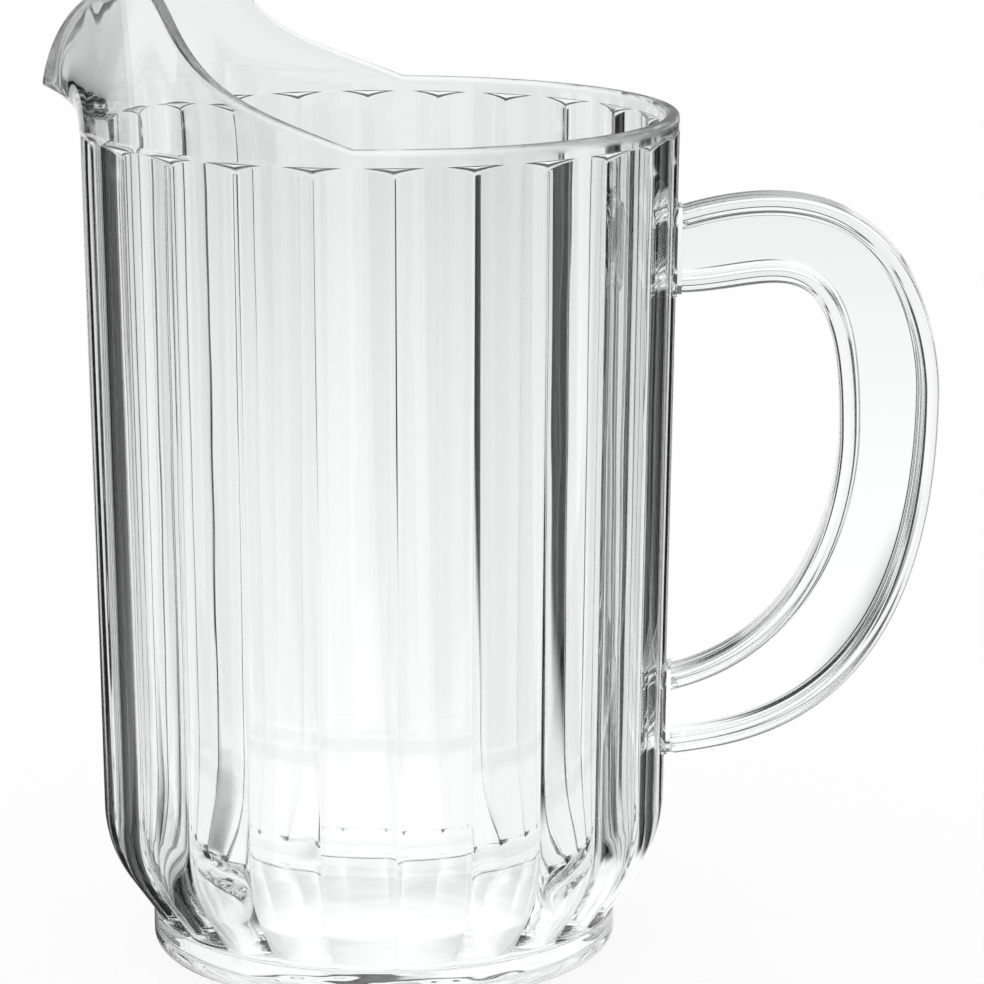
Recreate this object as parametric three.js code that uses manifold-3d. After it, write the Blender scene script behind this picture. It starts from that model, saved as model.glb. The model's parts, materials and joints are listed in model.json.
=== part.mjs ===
// A clear plastic serving jug: a reeded, tapering body with a raised pouring lip and a beak,
// and an I-section handle that is welded to the body's wall at two foot pads.
// Millimetres and degrees. The foot stands on z = 0, the beak points along -X and the handle along +X.
import * as THREE from 'three';
import { mergeVertices } from 'three/addons/utils/BufferGeometryUtils.js';
import Module from 'manifold-3d';

// Driving dimensions: reeded wall
const topRadius = 64; // over the reeds, where they end below the rim band
const reedTop = 180.1; // height of the line that the reeds end under
const wallDraft = 0.9; // lean of the wall from upright
const wallThickness = 3; // from a reed's crest to the smooth inside
const reedCount = 24;
const reedDepth = 1.1; // of the groove between two reeds
const reedArch = 2.4; // rise of a reed's arched top end
const archCrown = 0.3; // strip of wall between an arch's crown and the band

// Driving dimensions: shoulder, foot and floor
const shoulderLean = 35; // of the cone above the foot, from upright
const shoulderRound = 29; // between the wall and that cone
const footInset = 13; // of the foot's edge, in from the top of the reeds
const footHeight = 8;
const footLedge = 0.1; // flat strip between the foot's rounded top edge and the cone
const footRound = 2.5;
const footTopRound = 0.3;
const footWidth = 5; // of the ring that the jug stands on
const recessDepth = 1.5; // of the dished underside, inside the foot ring
const recessRun = 6; // width over which the dish deepens
const recessRound = 12;
const floorThickness = 4.5;
const floorRound = 2; // inside, between the floor and the cone

// Driving dimensions: rim band and pouring lip, with angles measured round the axis from the beak
const bandHeight = 3.5; // of the plain rim above the reeds
const rimWidth = 3; // of the rim's top
const rimFlat = 0.6; // between the rim's two rounded edges
const wingRise = 30.7; // that the lip's raised sides run up to, above the rim
const wingAngle = 49.3; // where the rim's rise reaches that height
const wingRound = 6; // height over which the sides' top corners are rounded
const wingFlare = 2; // outward lean of the lip at that height
const sweepAngle = 88; // where the rim starts to rise
const sweepSlope = 0.52; // share of the rise that is even, while the rest steepens
const sweepPower = 5.5; // how late the rest steepens
const beakRise = 6; // of the beak's tip above the rim
const beakReach = 7.9; // of the beak, past the flared lip
const beakAngle = 27; // half the width of the beak
const beakSharpness = 1.5; // how fast the beak narrows to its tip
const lipSteepness = 2.5; // how fast the lip falls from its sides to the tip
const tipRound = 2; // degrees over which the tip is rounded
const beakThickening = 1.3; // of the rim's top, at the tip
const troughDepth = 8; // of the pouring trough's start below the reeds' top

// Driving dimensions: handle
const gripReach = 55.9; // of the handle's outside, past the top of the reeds
const gripDepth = 21.1; // of the grip, where it stands out furthest
const topRootDrop = 18.4; // of the upper root below the top of the reeds
const topRootHeight = 16.1;
const lowRootRise = 34.7; // of the lower root above the foot
const lowRootHeight = 18.2;
const handleWidth = 12;
const flangeThickness = 3.6; // along the outer and the inner edge
const webThickness = 4;
const edgeRound = 1;
const rootDepth = 2; // that the outlines run inside the wall before they are cut to fit it
const padWidth = 14;
const padThickness = 1.2; // outside the reed's crest
const padMargin = 1; // of the pad above and below the flanges
const padRound = 3;
const pocketSetback = 1.2; // of the web's pockets from the pad
const weldGap = 0.3; // between the pad and the wall

// Bends of the handle's edges. Each edge is two curves that meet upright at its bow, where it stands out
// furthest: the bow's height and the pulls are shares of that edge's own height and reach.
const outerBend = {
  bow: 0.6815,
  pullUp: 0.351,
  pullDown: 1.027,
  topLean: 19.5,
  topPull: 0.949,
  lowLean: 27,
  lowPull: 0.1315,
};
const innerBend = {
  bow: 0.641,
  pullUp: 1.556,
  pullDown: 0.2376,
  topLean: -4,
  topPull: 0.5767,
  lowLean: 12.6,
  lowPull: 0.887,
};

// How finely the curves are cut
const stepsPerReed = 6;
const shoulderSteps = 4;
const edgeSteps = 2;
const lipSteps = 4;
const outlineSteps = 14;

const sides = reedCount * stepsPerReed;
const radians = THREE.MathUtils.degToRad;

// Places that follow from them
const footRadius = topRadius - footInset;
const floorTop = recessDepth + floorThickness;
const rimTop = reedTop + bandHeight;
const rimRound = (rimWidth - rimFlat) / 2;
const wingTop = rimTop + wingRise;
const beakTop = rimTop + beakRise;
const handleReach = topRadius + gripReach;
const topRoot = reedTop - topRootDrop;
const lowRoot = footHeight + lowRootRise;
const outerEdge = { reach: handleReach, top: topRoot, low: lowRoot, bend: outerBend };
const innerEdge = {
  reach: handleReach - gripDepth,
  top: topRoot - topRootHeight,
  low: lowRoot + lowRootHeight,
  bend: innerBend,
};

// Reeds: convex, with the crest of one facing the beak. The groove's share of its full depth at an angle.
function grooveShare(angle) {
  const pitch = 360 / reedCount;
  const fromCrest = (angle / pitch - Math.round(angle / pitch)) * 2;
  return fromCrest * fromCrest;
}

// Wall and cone, seen in section as a radius at each height
function wallRadius(height) {
  return topRadius - (reedTop - height) * Math.tan(radians(wallDraft));
}

const coneRadius = footRadius - footTopRound - footLedge;
const coneSlope = Math.tan(radians(shoulderLean));

function coneAndWallMeet(inset) {
  const coneInset = inset / Math.cos(radians(shoulderLean));
  const wallSlope = Math.tan(radians(wallDraft));
  const wallAtZero = topRadius - inset - reedTop * wallSlope;
  const coneAtZero = coneRadius - coneInset - footHeight * coneSlope;
  const height = (wallAtZero - coneAtZero) / (coneSlope - wallSlope);
  return { radius: wallAtZero + height * wallSlope, height };
}

// A section's corner, rounded by an arc that touches both of its sides
function roundedCorner(before, corner, after, round, steps) {
  const at = new THREE.Vector2(corner.radius, corner.height);
  const toBefore = new THREE.Vector2(before.radius, before.height).sub(at).normalize();
  const toAfter = new THREE.Vector2(after.radius, after.height).sub(at).normalize();
  const half = Math.acos(THREE.MathUtils.clamp(toBefore.dot(toAfter), -1, 1)) / 2;
  const centre = toBefore.clone().add(toAfter).normalize().multiplyScalar(round / Math.sin(half)).add(at);
  const reach = round / Math.tan(half);
  const start = toBefore.multiplyScalar(reach).add(at).sub(centre).angle();
  const end = toAfter.multiplyScalar(reach).add(at).sub(centre).angle();
  const sweep = THREE.MathUtils.euclideanModulo(end - start + Math.PI, 2 * Math.PI) - Math.PI;
  const points = [];
  for (let step = 0; step <= steps; step += 1) {
    const turn = start + (sweep * step) / steps;
    points.push({ radius: centre.x + round * Math.cos(turn), height: centre.y + round * Math.sin(turn) });
  }
  return points;
}

// The rim's height and its reach past the band, at an angle from the beak
function fromBeak(angle) {
  const turn = Math.abs(THREE.MathUtils.euclideanModulo(angle + 180, 360) - 180);
  return Math.hypot(turn, tipRound) - tipRound;
}

function rimHeight(angle) {
  const turn = fromBeak(angle);
  const fall = Math.max(0, 1 - turn / wingAngle) ** lipSteepness;
  const front = wingTop - (wingTop - beakTop) * fall;
  const share = Math.max(0, (sweepAngle - turn) / (sweepAngle - wingAngle));
  const rise = sweepSlope * share + (1 - sweepSlope) * share ** sweepPower;
  const side = rimTop + (wingTop - rimTop) * rise;
  const blend = Math.max(0, wingRound - Math.abs(front - side));
  return Math.min(front, side) - (blend * blend) / (4 * wingRound);
}

function beakShare(angle) {
  return Math.max(0, 1 - fromBeak(angle) / beakAngle) ** beakSharpness;
}

function lipReach(angle) {
  const lean = (wingFlare * (rimHeight(angle) - rimTop)) / (wingTop - rimTop);
  return lean + beakReach * beakShare(angle);
}

// Rings of points round the axis: each takes an angle from the beak and gives a radius and a height
function plainRing(point) {
  return () => point;
}

function reededRing(point, outset = 0) {
  return (angle) => ({
    radius: point.radius + outset - reedDepth * grooveShare(angle),
    height: point.height,
  });
}

function archRing(outset = 0) {
  return (angle) => {
    const groove = grooveShare(angle);
    const height = reedTop - archCrown - reedArch * groove;
    return { radius: wallRadius(height) + outset - reedDepth * groove, height };
  };
}

function lipOuterRing(share) {
  return (angle) => ({
    radius: topRadius + lipReach(angle) * share * share,
    height: THREE.MathUtils.lerp(reedTop, rimHeight(angle) - rimRound, share),
  });
}

function rimRing(turn, inside) {
  const rise = rimRound * Math.sin(radians(turn));
  const inset = rimRound * (1 - Math.cos(radians(turn)));
  return (angle) => {
    const outer = topRadius + lipReach(angle);
    const inner = outer - rimWidth - beakThickening * beakShare(angle);
    return {
      radius: inside ? inner + inset : outer - inset,
      height: rimHeight(angle) - rimRound + rise,
    };
  };
}

function lipInnerRing(share) {
  const start = reedTop - troughDepth;
  const edge = rimRing(0, true);
  return (angle) => {
    const top = edge(angle);
    const height = THREE.MathUtils.lerp(start, top.height, share);
    const radius = THREE.MathUtils.lerp(wallRadius(start) - wallThickness, top.radius, share * share);
    return { radius, height };
  };
}

// A closed skin over a row of rings, from one point on the axis to another
function skin(rings, startHeight, endHeight) {
  const positions = [0, 0, startHeight];
  for (const ring of rings) {
    for (let side = 0; side < sides; side += 1) {
      const angle = (360 * side) / sides;
      const { radius, height } = ring(angle);
      const turn = radians(angle + 180);
      positions.push(radius * Math.cos(turn), radius * Math.sin(turn), height);
    }
  }
  const end = positions.length / 3;
  positions.push(0, 0, endHeight);
  const indices = [];
  for (let side = 0; side < sides; side += 1) {
    const next = (side + 1) % sides;
    indices.push(0, 1 + next, 1 + side);
    for (let ring = 0; ring < rings.length - 1; ring += 1) {
      const low = 1 + ring * sides;
      const high = low + sides;
      indices.push(low + side, low + next, high + side);
      indices.push(low + next, high + next, high + side);
    }
    const last = end - sides;
    indices.push(end, last + side, last + next);
  }
  const geometry = new THREE.BufferGeometry();
  geometry.setAttribute('position', new THREE.Float32BufferAttribute(positions, 3));
  geometry.setIndex(indices);
  geometry.computeVertexNormals();
  return geometry;
}

function shoulderPoints(inset) {
  const meet = coneAndWallMeet(inset);
  const coneFoot = { radius: meet.radius - meet.height * coneSlope, height: 0 };
  const wallHead = { radius: wallRadius(reedTop) - inset, height: reedTop };
  return roundedCorner(coneFoot, meet, wallHead, shoulderRound - inset, shoulderSteps);
}

function bodyGeometry() {
  const ringInside = footRadius - footWidth;
  const recess = roundedCorner(
    { radius: 0, height: recessDepth },
    { radius: ringInside - recessRun, height: recessDepth },
    { radius: ringInside, height: 0 },
    recessRound,
    edgeSteps,
  );
  const footEdge = roundedCorner(
    { radius: ringInside, height: 0 },
    { radius: footRadius, height: 0 },
    { radius: footRadius, height: footHeight },
    footRound,
    edgeSteps,
  );
  const footHead = roundedCorner(
    { radius: footRadius, height: 0 },
    { radius: footRadius, height: footHeight },
    { radius: 0, height: footHeight },
    footTopRound,
    edgeSteps,
  );
  const foot = [...recess, { radius: ringInside, height: 0 }, ...footEdge, ...footHead];
  const coneStart = { radius: coneRadius, height: footHeight };
  const reeds = [coneStart, ...shoulderPoints(0)];

  const meetInside = coneAndWallMeet(wallThickness);
  const floorEdge = {
    radius: meetInside.radius - (meetInside.height - floorTop) * coneSlope,
    height: floorTop,
  };
  const floorMiddle = { radius: 0, height: floorTop };
  const floorCorner = roundedCorner(meetInside, floorEdge, floorMiddle, floorRound, edgeSteps);
  const inside = [...shoulderPoints(wallThickness).reverse(), ...floorCorner];

  const lipShares = Array.from({ length: lipSteps + 1 }, (_, step) => step / lipSteps);
  const rimTurns = Array.from({ length: edgeSteps }, (_, step) => (90 * (step + 1)) / edgeSteps);
  const rings = [
    ...foot.map(plainRing),
    ...reeds.map((point) => reededRing(point)),
    archRing(),
    ...lipShares.map(lipOuterRing),
    ...rimTurns.map((turn) => rimRing(turn, false)),
    ...rimTurns.toReversed().map((turn) => rimRing(turn, true)),
    ...lipShares.toReversed().map(lipInnerRing),
    ...inside.map(plainRing),
  ];
  return skin(rings, recessDepth, floorTop);
}

// Solid of the reeded wall, grown by the weld's gap, that the handle's roots are cut to
function wallFormGeometry() {
  const reeds = shoulderPoints(0).map((point) => reededRing(point, weldGap));
  const low = shoulderPoints(0)[0].height;
  return skin([...reeds, archRing(weldGap)], low, reedTop - reedArch);
}

// Handle: one edge of its side outline, as points from the top root round the grip to the lower root
function edgePoints({ reach, top, low, bend }, inset) {
  const rootX = wallRadius(low) - rootDepth;
  const run = reach - rootX;
  const bow = THREE.MathUtils.lerp(low, top, bend.bow);
  const fromRoot = (height, pull, lean) => new THREE.Vector2(
    rootX + run * pull * Math.cos(radians(lean)),
    height + run * pull * Math.sin(radians(lean)),
  );
  const upper = new THREE.CubicBezierCurve(
    new THREE.Vector2(rootX, top),
    fromRoot(top, bend.topPull, bend.topLean),
    new THREE.Vector2(reach, bow + bend.pullUp * (top - bow)),
    new THREE.Vector2(reach, bow),
  );
  const lower = new THREE.CubicBezierCurve(
    new THREE.Vector2(reach, bow),
    new THREE.Vector2(reach, bow - bend.pullDown * (bow - low)),
    fromRoot(low, bend.lowPull, bend.lowLean),
    new THREE.Vector2(rootX, low),
  );
  const points = [];
  for (const curve of [upper, lower]) {
    for (let step = points.length ? 1 : 0; step <= outlineSteps; step += 1) {
      const share = step / outlineSteps;
      const tangent = curve.getTangent(share);
      const inward = new THREE.Vector2(tangent.y, -tangent.x).multiplyScalar(inset);
      points.push(curve.getPoint(share).add(inward));
    }
  }
  return points;
}

function handleOutline(inset) {
  return [...edgePoints(outerEdge, inset), ...edgePoints(innerEdge, -inset).reverse()];
}

// The part of a closed outline that lies past a line of equal x
function outlinePast(outline, startX) {
  const kept = [];
  outline.forEach((point, index) => {
    const next = outline[(index + 1) % outline.length];
    if (point.x >= startX) kept.push(point);
    if (point.x >= startX !== next.x >= startX) {
      kept.push(point.clone().lerp(next, (startX - point.x) / (next.x - point.x)));
    }
  });
  return kept;
}

// Height of an edge where it leaves a pad's face, at its top or lower root
function heightAtPad(height, lean) {
  return height + (rootDepth + padThickness) * Math.tan(radians(lean));
}

// A side outline, drawn in X and Z, as a plate centred on Y = centre
function plate(outline, thickness, centre, round) {
  const bevel = round > 0;
  const geometry = new THREE.ExtrudeGeometry(new THREE.Shape(outline), {
    depth: thickness - 2 * round,
    bevelEnabled: bevel,
    bevelSize: round,
    bevelOffset: -round,
    bevelThickness: round,
    bevelSegments: edgeSteps,
  });
  geometry.translate(0, 0, -thickness / 2 + round);
  geometry.rotateX(Math.PI / 2);
  geometry.translate(0, centre, 0);
  return geometry;
}

// A root's pad, from inside the wall to its flat outer face
function padGeometry(lowest, highest) {
  const height = highest - lowest + 2 * padMargin;
  const outline = new THREE.Shape();
  const halfWidth = padWidth / 2;
  outline.moveTo(-halfWidth + padRound, -height / 2);
  outline.lineTo(halfWidth - padRound, -height / 2);
  outline.absarc(halfWidth - padRound, -height / 2 + padRound, padRound, -Math.PI / 2, 0);
  outline.lineTo(halfWidth, height / 2 - padRound);
  outline.absarc(halfWidth - padRound, height / 2 - padRound, padRound, 0, Math.PI / 2);
  outline.lineTo(-halfWidth + padRound, height / 2);
  outline.absarc(-halfWidth + padRound, height / 2 - padRound, padRound, Math.PI / 2, Math.PI);
  outline.lineTo(-halfWidth, -height / 2 + padRound);
  outline.absarc(-halfWidth + padRound, -height / 2 + padRound, padRound, Math.PI, 1.5 * Math.PI);
  const middle = (lowest + highest) / 2;
  const geometry = new THREE.ExtrudeGeometry(outline, {
    depth: rootDepth + reedDepth + padThickness,
    bevelEnabled: false,
    curveSegments: edgeSteps,
  });
  geometry.rotateX(Math.PI / 2);
  geometry.rotateZ(Math.PI / 2);
  geometry.translate(wallRadius(middle) - rootDepth - reedDepth, 0, middle);
  return geometry;
}

const wasm = await Module();
wasm.setup();

function solidOf(geometry) {
  const plain = geometry.clone();
  plain.deleteAttribute('normal');
  plain.deleteAttribute('uv');
  const merged = mergeVertices(plain);
  return new wasm.Manifold(new wasm.Mesh({
    numProp: 3,
    vertProperties: new Float32Array(merged.attributes.position.array),
    triVerts: new Uint32Array(merged.index.array),
  }));
}

function geometryOf(solid) {
  const mesh = solid.getMesh();
  const geometry = new THREE.BufferGeometry();
  geometry.setAttribute('position', new THREE.BufferAttribute(mesh.vertProperties, 3));
  geometry.setIndex(new THREE.BufferAttribute(mesh.triVerts, 1));
  geometry.computeVertexNormals();
  return geometry;
}

function handleGeometry() {
  const roots = [
    [heightAtPad(innerEdge.top, innerBend.topLean), heightAtPad(outerEdge.top, outerBend.topLean)],
    [heightAtPad(outerEdge.low, outerBend.lowLean), heightAtPad(innerEdge.low, innerBend.lowLean)],
  ];
  let solid = solidOf(plate(handleOutline(0), handleWidth, 0, edgeRound));
  const pocketDepth = (handleWidth - webThickness) / 2;
  const pocketCentre = (handleWidth + webThickness) / 4;
  const pocketStart = wallRadius(outerEdge.top) + padThickness + pocketSetback;
  const pocketOutline = outlinePast(handleOutline(flangeThickness), pocketStart);
  for (const side of [-1, 1]) {
    solid = solid.subtract(solidOf(plate(pocketOutline, pocketDepth, side * pocketCentre, 0)));
  }
  for (const [lowest, highest] of roots) {
    solid = solid.add(solidOf(padGeometry(lowest, highest)));
  }
  return geometryOf(solid.subtract(solidOf(wallFormGeometry())));
}

function clearPlastic() {
  return new THREE.MeshStandardMaterial({ color: 0xe4e8e8, roughness: 0.05, metalness: 0 });
}

const body = new THREE.Mesh(bodyGeometry(), clearPlastic());
body.name = 'jug_body';

const handle = new THREE.Mesh(handleGeometry(), clearPlastic());
handle.name = 'handle';

// The jug stands with the middle of its length, from beak to grip, over the origin
const jug = new THREE.Group();
jug.add(body, handle);
jug.position.x = (topRadius + lipReach(0) - handleReach) / 2;

export default jug;
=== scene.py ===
import bmesh
import bpy
import json
import math
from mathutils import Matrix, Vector

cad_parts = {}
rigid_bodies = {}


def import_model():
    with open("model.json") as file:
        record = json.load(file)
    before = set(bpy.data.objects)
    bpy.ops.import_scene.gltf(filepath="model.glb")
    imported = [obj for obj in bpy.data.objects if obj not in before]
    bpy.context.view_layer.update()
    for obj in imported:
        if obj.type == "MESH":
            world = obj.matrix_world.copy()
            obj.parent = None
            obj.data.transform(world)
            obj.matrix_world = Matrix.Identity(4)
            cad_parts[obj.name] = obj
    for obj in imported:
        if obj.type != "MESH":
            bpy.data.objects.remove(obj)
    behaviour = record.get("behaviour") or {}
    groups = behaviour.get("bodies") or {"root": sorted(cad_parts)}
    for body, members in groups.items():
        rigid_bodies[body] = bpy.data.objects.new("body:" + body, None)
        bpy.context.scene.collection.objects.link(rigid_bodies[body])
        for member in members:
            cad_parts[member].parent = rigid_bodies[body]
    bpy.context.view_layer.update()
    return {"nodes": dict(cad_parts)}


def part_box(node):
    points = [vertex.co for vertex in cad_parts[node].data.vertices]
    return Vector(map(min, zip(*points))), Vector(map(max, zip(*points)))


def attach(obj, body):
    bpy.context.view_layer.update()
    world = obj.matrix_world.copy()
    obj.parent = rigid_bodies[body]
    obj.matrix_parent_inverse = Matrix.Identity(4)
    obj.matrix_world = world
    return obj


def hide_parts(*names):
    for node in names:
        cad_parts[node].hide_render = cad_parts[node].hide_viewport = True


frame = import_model()
mm = 0.001
mergeGap = 0.000001  # points closer than this are one
bpy.context.scene.view_settings.view_transform = "Standard"
bpy.context.scene.cycles.max_bounces = 32  # light runs on inside the clear walls
bpy.context.scene.cycles.transmission_bounces = 32
bpy.context.scene.cycles.glossy_bounces = 16
print("frame loaded:", sorted(frame["nodes"]))


# camera, at the photo's angle
cameraSet = {
    "place": (53.52, -882.74, 296.23),  # mm, row frame
    "tilt": 12.48,  # degrees down
    "turn": 3.46,  # degrees to the left
    "lens": 152.54,
    "sensor": 36,  # mm, as the lens
    "nearest": 0.01,  # metres that it sees from
}


def addCamera():
    bpy.ops.object.camera_add(location=[value * mm for value in cameraSet["place"]])
    camera = bpy.context.object
    camera.name = "photoCamera"
    camera.rotation_euler = (math.radians(90 - cameraSet["tilt"]), 0, math.radians(cameraSet["turn"]))
    camera.data.lens = cameraSet["lens"]
    camera.data.sensor_width = cameraSet["sensor"]
    camera.data.clip_start = cameraSet["nearest"]
    bpy.context.scene.camera = camera


addCamera()
print("camera placed")


# jug body: millimetres and degrees, angles counted round the axis from the beak
bodySet = {
    "topRadius": 64,
    "reedTop": 180.1,
    "wallDraft": 0.9,
    "wallThickness": 3,
    "reedCount": 24,
    "reedDepth": 1.3,
    "grooveDepth": 0.08,  # share of it in the narrow groove
    "groovePower": 12,
    "reedArch": 2.4,
    "archCrown": 0.3,
    "archMargin": 1,  # of plain reed below the arches
    "archCove": 2.5,  # how late the wall turns out to the rim band above an arch
    "shoulderLean": 35,
    "shoulderRound": 29,
    "footRadius": 51,
    "footHeight": 8,
    "coneRadius": 50.6,
    "footRound": 2.5,
    "footTopRound": 0.3,
    "footWidth": 5,
    "recessDepth": 1.5,
    "recessRun": 6,
    "recessRound": 12,
    "floorTop": 6,
    "floorRound": 2,
    "besideFloor": 0.3,  # narrow ring that keeps the floor flat
    "rimTop": 183.6,
    "rimWidth": 3,
    "rimRound": 1.2,
    "rimSoft": 2.6,  # height over which the rubbed rim goes dull
    "wingTop": 214.3,
    "wingAngle": 49.3,
    "wingRound": 6,
    "wingFlare": 2,
    "sweepAngle": 88,
    "sweepSlope": 0.52,
    "sweepPower": 5.5,
    "beakTop": 189.6,
    "beakReach": 7.9,
    "beakAngle": 27,
    "beakSharpness": 1.5,
    "beakThickening": 1.3,
    "lipSteepness": 2.5,
    "tipRound": 2,
    "troughDepth": 8,
    "columnsPerReed": 16,
    # rings along each stretch of the section
    "steps": {"dish": 8, "flat": 4, "footEdge": 10, "footTop": 5, "cone": 6, "shoulder": 24, "wall": 16,
              "arch": 8, "lip": 22, "rim": 8, "floorCorner": 12},
}
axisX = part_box("jug_body")[1].x / mm - bodySet["topRadius"]  # of the body, in the row frame


def lerp(start, end, share):
    return start + (end - start) * share


def grooveShare(angle):
    pitch = 360 / bodySet["reedCount"]
    fromCrest = 2 * (angle / pitch - round(angle / pitch))
    return lerp(fromCrest ** 2, fromCrest ** bodySet["groovePower"], bodySet["grooveDepth"])


def wallRadius(height):
    below = bodySet["reedTop"] - height
    return bodySet["topRadius"] - below * math.tan(math.radians(bodySet["wallDraft"]))


def fromBeak(angle):
    turn = abs((angle + 180) % 360 - 180)
    return math.hypot(turn, bodySet["tipRound"]) - bodySet["tipRound"]


def rimHeight(angle):
    turn = fromBeak(angle)
    wingTop, rimTop = bodySet["wingTop"], bodySet["rimTop"]
    fall = max(0, 1 - turn / bodySet["wingAngle"]) ** bodySet["lipSteepness"]
    front = wingTop - (wingTop - bodySet["beakTop"]) * fall
    share = max(0, (bodySet["sweepAngle"] - turn) / (bodySet["sweepAngle"] - bodySet["wingAngle"]))
    rise = bodySet["sweepSlope"] * share + (1 - bodySet["sweepSlope"]) * share ** bodySet["sweepPower"]
    side = rimTop + (wingTop - rimTop) * rise
    blend = max(0, bodySet["wingRound"] - abs(front - side))
    return min(front, side) - blend * blend / (4 * bodySet["wingRound"])


def beakShare(angle):
    return max(0, 1 - fromBeak(angle) / bodySet["beakAngle"]) ** bodySet["beakSharpness"]


def lipReach(angle):
    raised = (rimHeight(angle) - bodySet["rimTop"]) / (bodySet["wingTop"] - bodySet["rimTop"])
    return bodySet["wingFlare"] * raised + bodySet["beakReach"] * beakShare(angle)


def roundedCorner(before, corner, after, radius, steps):  # points of an arc that touches both sides
    corner = Vector(corner)
    toBefore = (Vector(before) - corner).normalized()
    toAfter = (Vector(after) - corner).normalized()
    half = toBefore.angle(toAfter) / 2
    centre = corner + (toBefore + toAfter).normalized() * radius / math.sin(half)
    start = corner + toBefore * radius / math.tan(half) - centre
    end = corner + toAfter * radius / math.tan(half) - centre
    startTurn = math.atan2(start.y, start.x)
    sweep = (math.atan2(end.y, end.x) - startTurn + math.pi) % (2 * math.pi) - math.pi
    turns = [startTurn + sweep * step / steps for step in range(steps + 1)]
    return [(centre.x + radius * math.cos(turn), centre.y + radius * math.sin(turn)) for turn in turns]


def coneAndWallMeet(inset):
    coneSlope = math.tan(math.radians(bodySet["shoulderLean"]))
    wallSlope = math.tan(math.radians(bodySet["wallDraft"]))
    coneInset = inset / math.cos(math.radians(bodySet["shoulderLean"]))
    wallAtZero = wallRadius(0) - inset
    coneAtZero = bodySet["coneRadius"] - coneInset - bodySet["footHeight"] * coneSlope
    height = (wallAtZero - coneAtZero) / (coneSlope - wallSlope)
    return wallAtZero + height * wallSlope, height


def shoulderPoints(inset, steps):
    radius, height = coneAndWallMeet(inset)
    coneFoot = (radius - height * math.tan(math.radians(bodySet["shoulderLean"])), 0)
    wallHead = (bodySet["topRadius"] - inset, bodySet["reedTop"])
    return roundedCorner(coneFoot, (radius, height), wallHead, bodySet["shoulderRound"] - inset, steps)


# rings: each gives a radius and a height at an angle
def plainRing(point):
    return lambda angle: point


def reededRing(point, outset=0):
    return lambda angle: (point[0] + outset - bodySet["reedDepth"] * grooveShare(angle), point[1])


def archRing(share):  # from the reeds' arched ends, at 0, out to the rim band, at 1
    def ring(angle):
        groove = grooveShare(angle)
        low = bodySet["reedTop"] - bodySet["archCrown"] - bodySet["reedArch"] * groove
        deep = wallRadius(low) - bodySet["reedDepth"] * groove
        radius = lerp(deep, bodySet["topRadius"], share ** bodySet["archCove"])
        return radius, lerp(low, bodySet["reedTop"], share)
    return ring


def lipOuterRing(share):
    def ring(angle):
        radius = bodySet["topRadius"] + lipReach(angle) * share * share
        return radius, lerp(bodySet["reedTop"], rimHeight(angle) - bodySet["rimRound"], share)
    return ring


def rimRing(turn, inside):
    rimRound = bodySet["rimRound"]
    rise = rimRound * math.sin(math.radians(turn))
    inset = rimRound * (1 - math.cos(math.radians(turn)))

    def ring(angle):
        outer = bodySet["topRadius"] + lipReach(angle)
        inner = outer - bodySet["rimWidth"] - bodySet["beakThickening"] * beakShare(angle)
        return inner + inset if inside else outer - inset, rimHeight(angle) - rimRound + rise
    return ring


def lipInnerRing(share):
    start = bodySet["reedTop"] - bodySet["troughDepth"]
    deep = wallRadius(start) - bodySet["wallThickness"]
    edge = rimRing(0, True)

    def ring(angle):
        radius, height = edge(angle)
        return lerp(deep, radius, share * share), lerp(start, height, share)
    return ring


def shares(steps, first=0):
    return [step / steps for step in range(first, steps + 1)]


def between(start, end, steps):  # the points between two others, without them
    inner = shares(steps, 1)[:-1]
    return [(lerp(start[0], end[0], share), lerp(start[1], end[1], share)) for share in inner]


def footPoints():  # from the middle of the underside out to the top of the foot ring
    steps = bodySet["steps"]
    radius, height = bodySet["footRadius"], bodySet["footHeight"]
    ringInside, recess = radius - bodySet["footWidth"], bodySet["recessDepth"]
    dish, middle = (ringInside - bodySet["recessRun"], recess), (0, recess)
    under = roundedCorner(middle, dish, (ringInside, 0), bodySet["recessRound"], steps["dish"])
    edge = roundedCorner((ringInside, 0), (radius, 0), (radius, height), bodySet["footRound"],
                         steps["footEdge"])
    head = roundedCorner((radius, 0), (radius, height), (0, height), bodySet["footTopRound"],
                         steps["footTop"])
    return [middle, *between(middle, under[0], steps["flat"]), *under, (ringInside, 0), *edge, *head]


def reedPoints():  # from the foot up the shoulder and the wall
    steps = bodySet["steps"]
    shoulder = shoulderPoints(0, steps["shoulder"])
    start = (bodySet["coneRadius"], bodySet["footHeight"])
    top = bodySet["reedTop"] - bodySet["archCrown"] - bodySet["reedArch"] - bodySet["archMargin"]
    end = (wallRadius(top), top)
    cone = between(start, shoulder[0], steps["cone"])
    wall = between(shoulder[-1], end, steps["wall"])
    return [start, *cone, *shoulder, *wall, end]


def insidePoints():  # from below the trough down to the middle of the floor
    steps = bodySet["steps"]
    meetRadius, meetHeight = coneAndWallMeet(bodySet["wallThickness"])
    floorTop = bodySet["floorTop"]
    coneSlope = math.tan(math.radians(bodySet["shoulderLean"]))
    floorEdge = (meetRadius - (meetHeight - floorTop) * coneSlope, floorTop)
    corner = roundedCorner((meetRadius, meetHeight), floorEdge, (0, floorTop), bodySet["floorRound"],
                           steps["floorCorner"])
    inner = shoulderPoints(bodySet["wallThickness"], steps["shoulder"])[::-1]
    troughStart = bodySet["reedTop"] - bodySet["troughDepth"]
    insideTop = (wallRadius(troughStart) - bodySet["wallThickness"], troughStart)
    wall = between(insideTop, inner[0], steps["wall"])
    cone = between(inner[-1], corner[0], steps["flat"])
    beside, middle = (corner[-1][0] - bodySet["besideFloor"], floorTop), (0, floorTop)
    return [*wall, *inner, *cone, *corner, beside, *between(beside, middle, steps["flat"]), middle]


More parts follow.
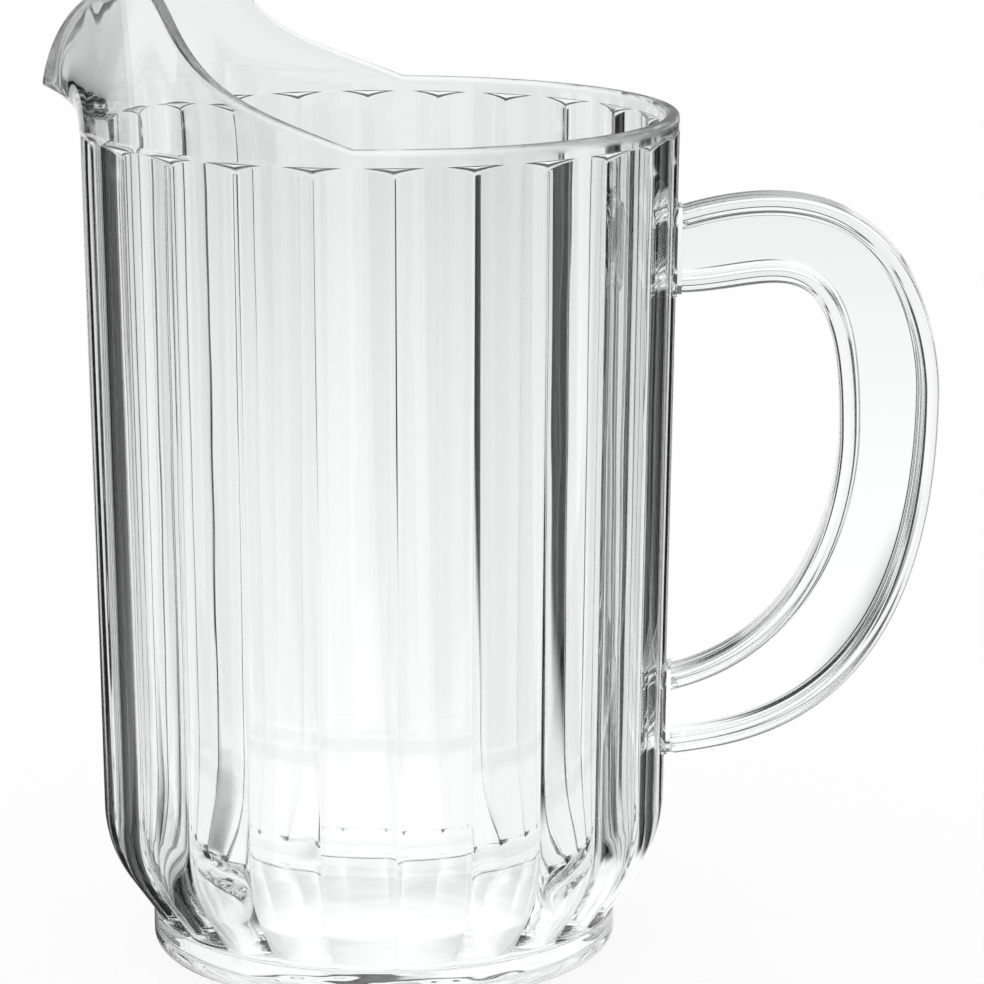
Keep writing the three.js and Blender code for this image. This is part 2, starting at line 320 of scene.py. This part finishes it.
def bodyRings():
    steps = bodySet["steps"]
    rings = [plainRing(point) for point in footPoints()]
    rings += [reededRing(point) for point in reedPoints()]
    rings += [archRing(share) for share in shares(steps["arch"])[:-1]]
    rings += [lipOuterRing(share) for share in shares(steps["lip"])]
    rings += [rimRing(90 * share, False) for share in shares(steps["rim"], 1)]
    rings += [rimRing(90 * share, True) for share in shares(steps["rim"], 1)[::-1]]
    rings += [lipInnerRing(share) for share in shares(steps["lip"])[::-1]]
    rings += [plainRing(point) for point in insidePoints()]
    return rings


def columnAngles():  # closer together in the grooves than on the crests
    pitch = 360 / bodySet["reedCount"]
    steps = bodySet["columnsPerReed"]
    angles = []
    for reed in range(bodySet["reedCount"]):
        for step in range(steps):
            across = math.sin(math.pi * (step / steps - 0.5))
            angles.append((reed + across / 2) * pitch)
    return angles + [angles[0] + 360]


def rolledMesh(name, rings):  # a flat grid, rolled up round the axis through the rings, and closed
    angles = columnAngles()
    columns, rows = len(angles) - 1, len(rings) - 1
    bpy.ops.object.select_all(action="DESELECT")
    bpy.ops.mesh.primitive_grid_add(x_subdivisions=columns, y_subdivisions=rows, size=2)
    piece = bpy.context.object
    piece.name = piece.data.name = name
    for vertex in piece.data.vertices:
        angle = angles[round((vertex.co.x + 1) / 2 * columns)]
        radius, height = rings[round((vertex.co.y + 1) / 2 * rows)](angle)
        turn = math.radians(angle + 180)
        vertex.co = ((axisX + radius * math.cos(turn)) * mm, radius * math.sin(turn) * mm, height * mm)
    bpy.ops.object.mode_set(mode="EDIT")
    bpy.ops.mesh.select_all(action="SELECT")
    bpy.ops.mesh.remove_doubles(threshold=mergeGap)
    bpy.ops.mesh.normals_make_consistent(inside=False)
    bpy.ops.object.mode_set(mode="OBJECT")
    bpy.ops.object.shade_smooth()
    return piece


def markRim(piece):  # how near each point is to the rim's rounded top
    marks = piece.data.attributes.new("nearRim", "FLOAT", "POINT")
    for vertex, mark in zip(piece.data.vertices, marks.data):
        angle = math.degrees(math.atan2(vertex.co.y, vertex.co.x - axisX * mm)) - 180
        below = rimHeight(angle) - vertex.co.z / mm
        mark.value = max(0, 1 - below / bodySet["rimSoft"])


jugBody = rolledMesh("clearJugBody", bodyRings())
markRim(jugBody)
print("jug body:", len(jugBody.data.polygons), "faces")


# handle: millimetres and degrees, bends as shares of each edge's own height and reach
handleSet = {
    "reach": 119.9,  # from the body's axis
    "gripDepth": 21.1,
    "topRoot": 161.7,
    "topRootHeight": 16.1,
    "lowRoot": 42.7,
    "lowRootHeight": 18.2,
    "width": 12,
    "flangeThickness": 3.6,
    "webThickness": 4,
    "edgeRound": 1,
    "rootDepth": 2,
    "padWidth": 14,
    "padThickness": 1.2,
    "padMargin": 1,
    "padRound": 3,
    "padSteps": 6,
    "formLow": 30,  # height where the form that the roots are cut to begins
    "weldGap": 0.3,
    "outerBend": {"bow": 0.6815, "pullUp": 0.351, "pullDown": 1.027, "topLean": 19.5, "topPull": 0.949,
                  "lowLean": 27, "lowPull": 0.1315},
    "innerBend": {"bow": 0.641, "pullUp": 1.556, "pullDown": 0.2376, "topLean": -4, "topPull": 0.5767,
                  "lowLean": 12.6, "lowPull": 0.887},
    "pathSteps": 60,  # along each of an edge's two curves
    "cornerSteps": 5,
    "besideRound": 0.2,  # row of faces that keeps the flats flat
    "smoothAngle": 35,
}


def curvePoint(ends, share):  # a cubic curve's place and direction
    rest = 1 - share
    place = (ends[0] * rest ** 3 + ends[1] * 3 * rest * rest * share
             + ends[2] * 3 * rest * share * share + ends[3] * share ** 3)
    along = ((ends[1] - ends[0]) * rest * rest + (ends[2] - ends[1]) * 2 * rest * share
             + (ends[3] - ends[2]) * share * share)
    return place, along.normalized()


def edgePath(reach, top, low, bend):  # from the upper root round the grip to the lower root
    rootX = wallRadius(low) - handleSet["rootDepth"]
    run = reach - rootX
    bow = lerp(low, top, bend["bow"])

    def fromRoot(height, pull, lean):
        turn = math.radians(lean)
        return Vector((rootX + run * pull * math.cos(turn), height + run * pull * math.sin(turn)))

    upper = [Vector((rootX, top)), fromRoot(top, bend["topPull"], bend["topLean"]),
             Vector((reach, bow + bend["pullUp"] * (top - bow))), Vector((reach, bow))]
    lower = [Vector((reach, bow)), Vector((reach, bow - bend["pullDown"] * (bow - low))),
             fromRoot(low, bend["lowPull"], bend["lowLean"]), Vector((rootX, low))]
    steps = shares(handleSet["pathSteps"])
    return [curvePoint(upper, share) for share in steps] + [curvePoint(lower, share) for share in steps[1:]]


def quarterRound(centre, radius, start, end):  # of a section, between two directions in degrees
    turns = [math.radians(lerp(start, end, share)) for share in shares(handleSet["cornerSteps"])]
    return [(centre[0] + radius * math.cos(turn), centre[1] + radius * math.sin(turn)) for turn in turns]


def sectionQuarter():  # one flange's half section, as depth from the edge and half width
    half, flange, edge = handleSet["width"] / 2, handleSet["flangeThickness"], handleSet["edgeRound"]
    web, beside = handleSet["webThickness"] / 2, handleSet["besideRound"]
    points = [(0, 0), (0, half - edge - beside)]
    points += quarterRound((edge, half - edge), edge, 180, 90)
    points += [(edge + beside, half), (flange - edge - beside, half)]
    points += quarterRound((flange - edge, half - edge), edge, 90, 0)
    points += [(flange, half - edge - beside), (flange, web + edge + beside)]
    points += quarterRound((flange + edge, web + edge), edge, 180, 270)
    return points + [(flange + edge + beside, web)]


def handleRings():
    outer = edgePath(handleSet["reach"], handleSet["topRoot"], handleSet["lowRoot"], handleSet["outerBend"])
    inner = edgePath(handleSet["reach"] - handleSet["gripDepth"],
                     handleSet["topRoot"] - handleSet["topRootHeight"],
                     handleSet["lowRoot"] + handleSet["lowRootHeight"], handleSet["innerBend"])
    quarter = sectionQuarter()
    rings = []
    for (outerPlace, outerAlong), (innerPlace, innerAlong) in zip(outer, inner):
        outerIn = Vector((outerAlong.y, -outerAlong.x))
        innerIn = Vector((-innerAlong.y, innerAlong.x))
        half = [(outerPlace + outerIn * depth, width) for depth, width in quarter]
        half += [(innerPlace + innerIn * depth, width) for depth, width in quarter[::-1]]
        ring = half + [(place, -width) for place, width in half[::-1][1:-1]]
        rings.append(ring)
    return rings


def sweptMesh(name, rings):  # a flat grid, wrapped round the sections along the handle, with closed ends
    columns, rows = len(rings[0]), len(rings) - 1
    bpy.ops.object.select_all(action="DESELECT")
    bpy.ops.mesh.primitive_grid_add(x_subdivisions=columns, y_subdivisions=rows, size=2)
    piece = bpy.context.object
    piece.name = piece.data.name = name
    for vertex in piece.data.vertices:
        column = round((vertex.co.x + 1) / 2 * columns) % columns
        place, width = rings[round((vertex.co.y + 1) / 2 * rows)][column]
        vertex.co = ((axisX + place.x) * mm, width * mm, place.y * mm)
    bpy.ops.object.mode_set(mode="EDIT")
    bpy.ops.mesh.select_all(action="SELECT")
    bpy.ops.mesh.remove_doubles(threshold=mergeGap)
    bpy.ops.mesh.select_all(action="DESELECT")
    bpy.ops.mesh.select_mode(type="EDGE")
    bpy.ops.mesh.select_non_manifold()
    bpy.ops.mesh.edge_face_add()
    bpy.ops.mesh.select_all(action="SELECT")
    bpy.ops.mesh.normals_make_consistent(inside=False)
    bpy.ops.object.mode_set(mode="OBJECT")
    return piece


def addPad(low, high):  # plate at a root, from inside the wall to its flat outer face
    margin, depth = handleSet["padMargin"], handleSet["rootDepth"] + bodySet["reedDepth"]
    middle, height = (low + high) / 2, high - low + 2 * margin
    thick = depth + handleSet["padThickness"]
    face = axisX + wallRadius(middle) + handleSet["padThickness"]
    bpy.ops.object.select_all(action="DESELECT")
    bpy.ops.mesh.primitive_cube_add(size=1, location=((face - thick / 2) * mm, 0, middle * mm))
    pad = bpy.context.object
    pad.scale = (thick * mm, handleSet["padWidth"] * mm, height * mm)
    bpy.ops.object.transform_apply(location=True, rotation=True, scale=True)
    bpy.ops.object.mode_set(mode="EDIT")
    bpy.ops.mesh.select_all(action="DESELECT")
    mesh = bmesh.from_edit_mesh(pad.data)
    for edge in mesh.edges:
        edge.select = abs((edge.verts[0].co - edge.verts[1].co).x) > thick * mm / 2
    bmesh.update_edit_mesh(pad.data)
    bpy.ops.mesh.bevel(offset=handleSet["padRound"] * mm, segments=handleSet["padSteps"], affect="EDGES")
    bpy.ops.object.mode_set(mode="OBJECT")
    return pad


def combine(piece, other, operation):
    bpy.ops.object.select_all(action="DESELECT")
    bpy.context.view_layer.objects.active = piece
    cut = piece.modifiers.new("combine", "BOOLEAN")
    cut.operation = operation
    cut.solver = "EXACT"
    cut.object = other
    bpy.ops.object.modifier_apply(modifier=cut.name)
    bpy.data.objects.remove(other)


def wallForm():  # the reeded wall, grown by the weld's gap, that the roots are cut to
    gap = handleSet["weldGap"]
    low, high = handleSet["formLow"], bodySet["reedTop"] - bodySet["reedArch"]
    walls = [(wallRadius(height), height) for height in (low, high)]
    return rolledMesh("wallForm", [plainRing((0, low)), reededRing(walls[0], gap),
                                   reededRing(walls[1], gap), plainRing((0, high))])


def heightAtPad(height, lean):
    run = handleSet["rootDepth"] + handleSet["padThickness"]
    return height + run * math.tan(math.radians(lean))


def makeHandle():
    piece = sweptMesh("clearHandle", handleRings())
    outerBend, innerBend = handleSet["outerBend"], handleSet["innerBend"]
    topInner = handleSet["topRoot"] - handleSet["topRootHeight"]
    lowInner = handleSet["lowRoot"] + handleSet["lowRootHeight"]
    combine(piece, addPad(heightAtPad(topInner, innerBend["topLean"]),
                          heightAtPad(handleSet["topRoot"], outerBend["topLean"])), "UNION")
    combine(piece, addPad(heightAtPad(handleSet["lowRoot"], outerBend["lowLean"]),
                          heightAtPad(lowInner, innerBend["lowLean"])), "UNION")
    combine(piece, wallForm(), "DIFFERENCE")
    bpy.context.view_layer.objects.active = piece
    piece.select_set(True)
    bpy.ops.object.shade_smooth_by_angle(angle=math.radians(handleSet["smoothAngle"]))
    return piece


jugHandle = makeHandle()
print("handle:", len(jugHandle.data.polygons), "faces")


# clear moulded plastic
plasticSet = {
    "colour": (0.985, 0.995, 0.993, 1),
    "refraction": 1.57,
    "clean": 0.0,  # roughness of the polished skin
    "worn": 0.05,  # and where it is handled
    "rubbed": 0.4,  # on the rim
    "smears": {"Scale": 35, "Detail": 4},
    "smearRange": (0.5, 0.8),  # noise where wear begins, and is full
    "ripples": {"Scale": 90, "Detail": 1},
    "rippleStretch": (1, 1, 0.3),  # flow lines run up the wall
    "rippleBump": {"Strength": 0.06, "Distance": 0.001},
}


def mathNode(tree, operation, first, second=0, third=0):  # each a socket or a number
    node = tree.nodes.new("ShaderNodeMath")
    node.operation = operation
    for socket, value in zip(node.inputs, (first, second, third)):
        if isinstance(value, bpy.types.NodeSocket):
            tree.links.new(value, socket)
        else:
            socket.default_value = value
    return node.outputs[0]


def setNode(tree, kind, values):  # a new node with values on its sockets
    node = tree.nodes.new(kind)
    for name, value in values.items():
        node.inputs[name].default_value = value
    return node


def clearPlastic():
    material = bpy.data.materials.new("clearPlastic")
    material.use_nodes = True
    tree = material.node_tree
    shader = tree.nodes["Principled BSDF"]
    shader.inputs["Base Color"].default_value = plasticSet["colour"]
    shader.inputs["IOR"].default_value = plasticSet["refraction"]
    shader.inputs["Transmission Weight"].default_value = 1
    coords = tree.nodes.new("ShaderNodeTexCoord")
    smears = setNode(tree, "ShaderNodeTexNoise", plasticSet["smears"])
    begins, full = plasticSet["smearRange"]
    wear = setNode(tree, "ShaderNodeMapRange", {"From Min": begins, "From Max": full,
                                                "To Min": plasticSet["clean"], "To Max": plasticSet["worn"]})
    tree.links.new(coords.outputs["Object"], smears.inputs["Vector"])
    tree.links.new(smears.outputs["Fac"], wear.inputs["Value"])
    rim = tree.nodes.new("ShaderNodeAttribute")
    rim.attribute_name = "nearRim"
    rough = mathNode(tree, "MULTIPLY_ADD", rim.outputs["Fac"], plasticSet["rubbed"], wear.outputs["Result"])
    tree.links.new(rough, shader.inputs["Roughness"])
    stretch = setNode(tree, "ShaderNodeMapping", {"Scale": plasticSet["rippleStretch"]})
    ripple = setNode(tree, "ShaderNodeTexNoise", plasticSet["ripples"])
    bump = setNode(tree, "ShaderNodeBump", plasticSet["rippleBump"])
    tree.links.new(coords.outputs["Object"], stretch.inputs["Vector"])
    tree.links.new(stretch.outputs["Vector"], ripple.inputs["Vector"])
    tree.links.new(ripple.outputs["Fac"], bump.inputs["Height"])
    tree.links.new(bump.outputs["Normal"], shader.inputs["Normal"])
    return material


plastic = clearPlastic()
for piece, node in ((jugBody, "jug_body"), (jugHandle, "handle")):
    piece.data.materials.clear()
    piece.data.materials.append(plastic)
    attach(piece, "root")
    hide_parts(node)
print("plastic on both pieces")


# studio: a pale floor, and what the plastic shows of the room: painted dark patches and painted shade that
# dims with distance, on the floor's light for reflected and refracted rays only
studioSet = {
    "floorSize": 40,
    "floorDrop": 0.1,  # mm under the foot
    "floorColour": (0.96, 0.96, 0.96, 1),
    "floorGlow": 0.88,  # share of the floor's own light, that thins the shadow
    # painted dark patches on the floor's light, seen only in the plastic's reflections and refractions, in
    # metres: edge and width beside the jug, and how both run on per metre away from it
    "leftPaintedDark": {"start": -0.035, "turn": -0.66, "width": 0.03, "spread": -0.15, "shade": 0.012},
    "rightPaintedDark": {"start": 0.045, "turn": 0.16, "width": 0.02, "spread": 0.3, "shade": 0.012},
    "sideGap": 0.5,  # metres of |Y| per metre of |X| that are kept clear beside the jug
    "wideWidth": 0.12,  # what light that was reflected on or in a wall finds there instead
    "wideSpread": 3.5,
    "paintedDarkFront": 0.1,  # metres along Y where the painted dark patches begin, at the jug
    "frontTurn": -1.4,  # and per metre to its sides, where they begin further forward
    "paintedDarkBack": (1.5, 1.9),  # where they begin to fade, and are gone
    "edgeSoft": 0.01,
    "nearShade": 1.04,
    "farShade": 0.86,
    "dimming": (0.05, 1.3),  # metres back where the room begins to dim, and is dim
    "wallShade": 0.12,
    "wallStart": (0.05, 0.1),  # rise of a direction where the dark walls begin, and are full
    "wallTop": (0.24, 0.36),  # and where they end in the ceiling
    "ceilingShade": 1.05,
}


def softStep(tree, value, start, end, low=0, high=1):
    step = tree.nodes.new("ShaderNodeMapRange")
    step.interpolation_type = "SMOOTHSTEP"
    for name, number in (("From Min", start), ("From Max", end), ("To Min", low), ("To Max", high)):
        step.inputs[name].default_value = number
    tree.links.new(value, step.inputs["Value"])
    return step.outputs["Result"]


def stripEnd(tree, past, back, end, spread):  # 1 up to a strip's outer edge
    soft = studioSet["edgeSoft"]
    further = mathNode(tree, "MULTIPLY_ADD", back, -spread, past)
    return softStep(tree, further, end - soft, end + soft, 1, 0)


def addPaintedShade(tree, place):  # painted shade and painted dark patches: the brightness that the plastic shows of a place on the floor
    split = tree.nodes.new("ShaderNodeSeparateXYZ")
    tree.links.new(place, split.inputs[0])
    sideways, back = split.outputs["X"], mathNode(tree, "ABSOLUTE", split.outputs["Y"])  # alike in front
    soft, front = studioSet["edgeSoft"], studioSet["paintedDarkFront"]
    fromSide = mathNode(tree, "ABSOLUTE", sideways)
    fromGap = mathNode(tree, "MULTIPLY_ADD", fromSide, -studioSet["sideGap"], back)
    aside = softStep(tree, fromGap, 0, 2 * soft)
    path = tree.nodes.new("ShaderNodeLightPath")
    fromThree = mathNode(tree, "ABSOLUTE", mathNode(tree, "SUBTRACT", path.outputs["Ray Depth"], 3))
    straight = mathNode(tree, "COMPARE", fromThree, 1, 0.5)  # 2 surfaces are crossed, or 4
    bounced = mathNode(tree, "SUBTRACT", 1, straight)
    fromFront = mathNode(tree, "MULTIPLY_ADD", fromSide, -studioSet["frontTurn"], back)
    behind = softStep(tree, fromFront, front - soft, front + soft)
    behind = mathNode(tree, "MULTIPLY", behind, softStep(tree, back, *studioSet["paintedDarkBack"], 1, 0))
    light = softStep(tree, back, *studioSet["dimming"], studioSet["nearShade"], studioSet["farShade"])
    # painted dark patches, one on each side, that darken the floor's light only where the plastic reflects
    # or refracts it
    for darkPatch, side in ((studioSet["leftPaintedDark"], -1), (studioSet["rightPaintedDark"], 1)):
        edge = mathNode(tree, "MULTIPLY_ADD", back, -darkPatch["turn"], sideways)
        past = mathNode(tree, "MULTIPLY", edge, side)
        start = darkPatch["start"] * side
        inner = softStep(tree, past, start - soft, start + soft)
        narrow = stripEnd(tree, past, back, start + darkPatch["width"], darkPatch["spread"])
        narrow = mathNode(tree, "MULTIPLY", narrow, aside)
        wide = stripEnd(tree, past, back, start + studioSet["wideWidth"], studioSet["wideSpread"])
        outer = mathNode(tree, "MAXIMUM", narrow, mathNode(tree, "MULTIPLY", wide, bounced))
        covered = mathNode(tree, "MULTIPLY", behind, mathNode(tree, "MULTIPLY", inner, outer))
        kept = mathNode(tree, "MULTIPLY_ADD", covered, darkPatch["shade"] - 1, 1)
        light = mathNode(tree, "MULTIPLY", light, kept)
    return light


def addWalls(tree, direction):  # and of the room: a pale horizon, dark walls, a lit ceiling
    split = tree.nodes.new("ShaderNodeSeparateXYZ")
    tree.links.new(direction, split.inputs[0])
    rise = split.outputs["Z"]
    light = softStep(tree, rise, *studioSet["wallTop"], studioSet["farShade"], studioSet["ceilingShade"])
    above = softStep(tree, rise, *studioSet["wallStart"])
    below = softStep(tree, rise, *studioSet["wallTop"], 1, 0)
    wall = mathNode(tree, "MULTIPLY", above, below)
    kept = mathNode(tree, "MULTIPLY_ADD", wall, studioSet["wallShade"] - 1, 1)
    return mathNode(tree, "MULTIPLY", light, kept)


def throughPlastic(tree):  # 1 for what is seen in or through the plastic
    path = tree.nodes.new("ShaderNodeLightPath")
    return mathNode(tree, "MAXIMUM", path.outputs["Is Glossy Ray"], path.outputs["Is Transmission Ray"])


def addWorld():
    world = bpy.data.worlds.new("studioRoom")
    bpy.context.scene.world = world
    world.use_nodes = True
    tree = world.node_tree
    coords = tree.nodes.new("ShaderNodeTexCoord")
    mix = tree.nodes.new("ShaderNodeMixRGB")
    mix.inputs["Color1"].default_value = (1, 1, 1, 1)
    tree.links.new(throughPlastic(tree), mix.inputs["Fac"])
    tree.links.new(addWalls(tree, coords.outputs["Generated"]), mix.inputs["Color2"])
    tree.links.new(mix.outputs["Color"], tree.nodes["Background"].inputs["Color"])


def mixShader(tree, factor, first, second):
    mix = tree.nodes.new("ShaderNodeMixShader")
    if isinstance(factor, bpy.types.NodeSocket):
        tree.links.new(factor, mix.inputs["Fac"])
    else:
        mix.inputs["Fac"].default_value = factor
    tree.links.new(first, mix.inputs[1])
    tree.links.new(second, mix.inputs[2])
    return mix.outputs["Shader"]


def addFloor():
    bpy.ops.object.select_all(action="DESELECT")
    drop = studioSet["floorDrop"] * mm
    bpy.ops.mesh.primitive_plane_add(size=studioSet["floorSize"], location=(0, 0, -drop))
    floor = bpy.context.object
    floor.name = "studioFloor"
    material = bpy.data.materials.new("paleFloor")
    material.use_nodes = True
    tree = material.node_tree
    shader = tree.nodes["Principled BSDF"]
    shader.inputs["Base Color"].default_value = studioSet["floorColour"]
    shader.inputs["Roughness"].default_value = 1
    shader.inputs["Specular IOR Level"].default_value = 0
    glow = tree.nodes.new("ShaderNodeEmission")
    lit = mixShader(tree, studioSet["floorGlow"], shader.outputs["BSDF"], glow.outputs["Emission"])
    coords = tree.nodes.new("ShaderNodeTexCoord")
    # the floor's light in the plastic's reflections and refractions, with painted shade and painted dark
    # patches
    seen = tree.nodes.new("ShaderNodeEmission")
    tree.links.new(addPaintedShade(tree, coords.outputs["Object"]), seen.inputs["Color"])
    surface = mixShader(tree, throughPlastic(tree), lit, seen.outputs["Emission"])
    tree.links.new(surface, tree.nodes["Material Output"].inputs["Surface"])
    floor.data.materials.append(material)


addWorld()
addFloor()
print("studio set")
